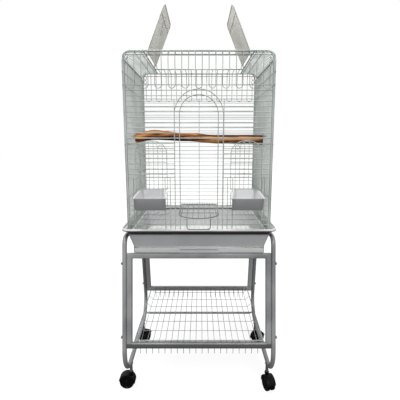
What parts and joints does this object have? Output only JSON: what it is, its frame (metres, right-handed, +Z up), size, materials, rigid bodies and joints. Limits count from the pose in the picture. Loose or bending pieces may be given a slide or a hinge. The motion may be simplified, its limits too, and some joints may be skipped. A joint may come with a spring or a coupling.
{
  "type": "bird cage on stand",
  "caption": "Wire bird cage with drop-down door, feeder doors with cups, opening roof flaps and pull-out tray, on a wheeled tube stand with a shelf.",
  "frame": {"origin": "middle of the footprint's bounding box, on the floor under the casters, with the main door lowered", "axes": "+Z up, -Y towards the front (the main door's side), +X to the right as seen from the front"},
  "size_m": [0.5832, 0.607, 1.3024],
  "materials": {
    "wire_paint": "pale grey satin powder coat on steel wire",
    "stand_paint": "silver-grey satin powder coat on steel tube",
    "base_plastic": "light grey moulded plastic",
    "cup_plastic": "mid grey moulded plastic",
    "perch_wood": "natural hardwood branch with grain",
    "caster_plastic": "black moulded plastic",
    "zinc": "zinc plated"
  },
  "bodies": {
    "base": {"front_wall": "wire_paint", "rear_wall": "wire_paint", "left_wall": "wire_paint", "right_wall": "wire_paint", "roof_grid": "wire_paint", "perch": "perch_wood", "base_tub": "base_plastic", "floor_grate": "wire_paint", "front_frame": "stand_paint", "rear_frame": "stand_paint", "lower_shelf": "wire_paint", "rear_rod": "stand_paint", "left_cup_holder": "wire_paint", "left_perch_nut": "zinc", "left_loop": "stand_paint", "left_front_upper_bolt": "zinc", "left_front_lower_bolt": "zinc", "left_rear_upper_bolt": "zinc", "left_rear_lower_bolt": "zinc", "right_cup_holder": "wire_paint", "right_perch_nut": "zinc", "right_loop": "stand_paint", "right_front_upper_bolt": "zinc", "right_front_lower_bolt": "zinc", "right_rear_upper_bolt": "zinc", "right_rear_lower_bolt": "zinc"},
    "left_roof_flap": {"left_roof_flap": "wire_paint"},
    "right_roof_flap": {"right_roof_flap": "wire_paint"},
    "main_door": {"main_door": "wire_paint"},
    "door_bail": {"door_bail": "wire_paint"},
    "left_feeder_door": {"left_feeder_door": "wire_paint"},
    "right_feeder_door": {"right_feeder_door": "wire_paint"},
    "left_cup": {"left_cup": "cup_plastic"},
    "right_cup": {"right_cup": "cup_plastic"},
    "pull_out_tray": {"pull_out_tray": "base_plastic"},
    "left_front_caster": {"left_front_caster": "caster_plastic"},
    "left_front_wheel_a": {"left_front_wheel_a": "caster_plastic"},
    "left_front_wheel_b": {"left_front_wheel_b": "caster_plastic"},
    "left_rear_caster": {"left_rear_caster": "caster_plastic"},
    "left_rear_wheel_a": {"left_rear_wheel_a": "caster_plastic"},
    "left_rear_wheel_b": {"left_rear_wheel_b": "caster_plastic"},
    "right_front_caster": {"right_front_caster": "caster_plastic"},
    "right_front_wheel_a": {"right_front_wheel_a": "caster_plastic"},
    "right_front_wheel_b": {"right_front_wheel_b": "caster_plastic"},
    "right_rear_caster": {"right_rear_caster": "caster_plastic"},
    "right_rear_wheel_a": {"right_rear_wheel_a": "caster_plastic"},
    "right_rear_wheel_b": {"right_rear_wheel_b": "caster_plastic"}
  },
  "joints": [
    {"name": "left_flap_hinge", "type": "hinge", "parent": "base", "child": "left_roof_flap", "pos_m": [-0.16, 0.04725, 1.161], "axis": [0, 1, 0], "range_deg": [-41.7, 68.3]},
    {"name": "right_flap_hinge", "type": "hinge", "parent": "base", "child": "right_roof_flap", "pos_m": [0.16, 0.04725, 1.161], "axis": [0, -1, 0], "range_deg": [-42.5, 67.5]},
    {"name": "main_door_hinge", "type": "hinge", "parent": "base", "child": "main_door", "pos_m": [0, -0.10645, 0.6884], "axis": [-1, 0, 0], "range_deg": [0, 90]},
    {"name": "door_bail_hinge", "type": "hinge", "parent": "main_door", "child": "door_bail", "pos_m": [0, -0.29245, 0.685], "axis": [1, 0, 0], "range_deg": [-85, 85]},
    {"name": "left_feeder_door_slide", "type": "slide", "parent": "base", "child": "left_feeder_door", "axis": [0, 0, 1], "range_m": [0, 0.04]},
    {"name": "right_feeder_door_slide", "type": "slide", "parent": "base", "child": "right_feeder_door", "axis": [0, 0, 1], "range_m": [0, 0.04]},
    {"name": "left_cup_slide", "type": "slide", "parent": "base", "child": "left_cup", "axis": [0, -1, 0], "range_m": [0, 0.07]},
    {"name": "right_cup_slide", "type": "slide", "parent": "base", "child": "right_cup", "axis": [0, -1, 0], "range_m": [0, 0.07]},
    {"name": "tray_slide", "type": "slide", "parent": "base", "child": "pull_out_tray", "axis": [0, -1, 0], "range_m": [0, 0.25]},
    {"name": "left_front_swivel", "type": "hinge", "parent": "base", "child": "left_front_caster", "pos_m": [-0.2468, -0.05925, 0.09375], "axis": [0, 0, 1], "continuous": true},
    {"name": "left_front_wheel_a_spin", "type": "hinge", "parent": "left_front_caster", "child": "left_front_wheel_a", "pos_m": [-0.2618, -0.04995, 0.026], "axis": [0, 1, 0], "continuous": true},
    {"name": "left_front_wheel_b_spin", "type": "hinge", "parent": "left_front_caster", "child": "left_front_wheel_b", "pos_m": [-0.2618, -0.06855, 0.026], "axis": [0, 1, 0], "continuous": true},
    {"name": "left_rear_swivel", "type": "hinge", "parent": "base", "child": "left_rear_caster", "pos_m": [-0.2468, 0.20875, 0.09375], "axis": [0, 0, 1], "continuous": true},
    {"name": "left_rear_wheel_a_spin", "type": "hinge", "parent": "left_rear_caster", "child": "left_rear_wheel_a", "pos_m": [-0.23293, 0.21966, 0.026], "axis": [0.9397, -0.342, 0], "continuous": true},
    {"name": "left_rear_wheel_b_spin", "type": "hinge", "parent": "left_rear_caster", "child": "left_rear_wheel_b", "pos_m": [-0.25041, 0.22602, 0.026], "axis": [0.9397, -0.342, 0], "continuous": true},
    {"name": "right_front_swivel", "type": "hinge", "parent": "base", "child": "right_front_caster", "pos_m": [0.2468, -0.05925, 0.09375], "axis": [0, 0, 1], "continuous": true},
    {"name": "right_front_wheel_a_spin", "type": "hinge", "parent": "right_front_caster", "child": "right_front_wheel_a", "pos_m": [0.2417, -0.07615, 0.026], "axis": [-0.9659, -0.2588, 0], "continuous": true},
    {"name": "right_front_wheel_b_spin", "type": "hinge", "parent": "right_front_caster", "child": "right_front_wheel_b", "pos_m": [0.25966, -0.07133, 0.026], "axis": [-0.9659, -0.2588, 0], "continuous": true},
    {"name": "right_rear_swivel", "type": "hinge", "parent": "base", "child": "right_rear_caster", "pos_m": [0.2468, 0.20875, 0.09375], "axis": [0, 0, 1], "continuous": true},
    {"name": "right_rear_wheel_a_spin", "type": "hinge", "parent": "right_rear_caster", "child": "right_rear_wheel_a", "pos_m": [0.26444, 0.20819, 0.026], "axis": [0.5, -0.866, 0], "continuous": true},
    {"name": "right_rear_wheel_b_spin", "type": "hinge", "parent": "right_rear_caster", "child": "right_rear_wheel_b", "pos_m": [0.25514, 0.2243, 0.026], "axis": [0.5, -0.866, 0], "continuous": true}
  ]
}
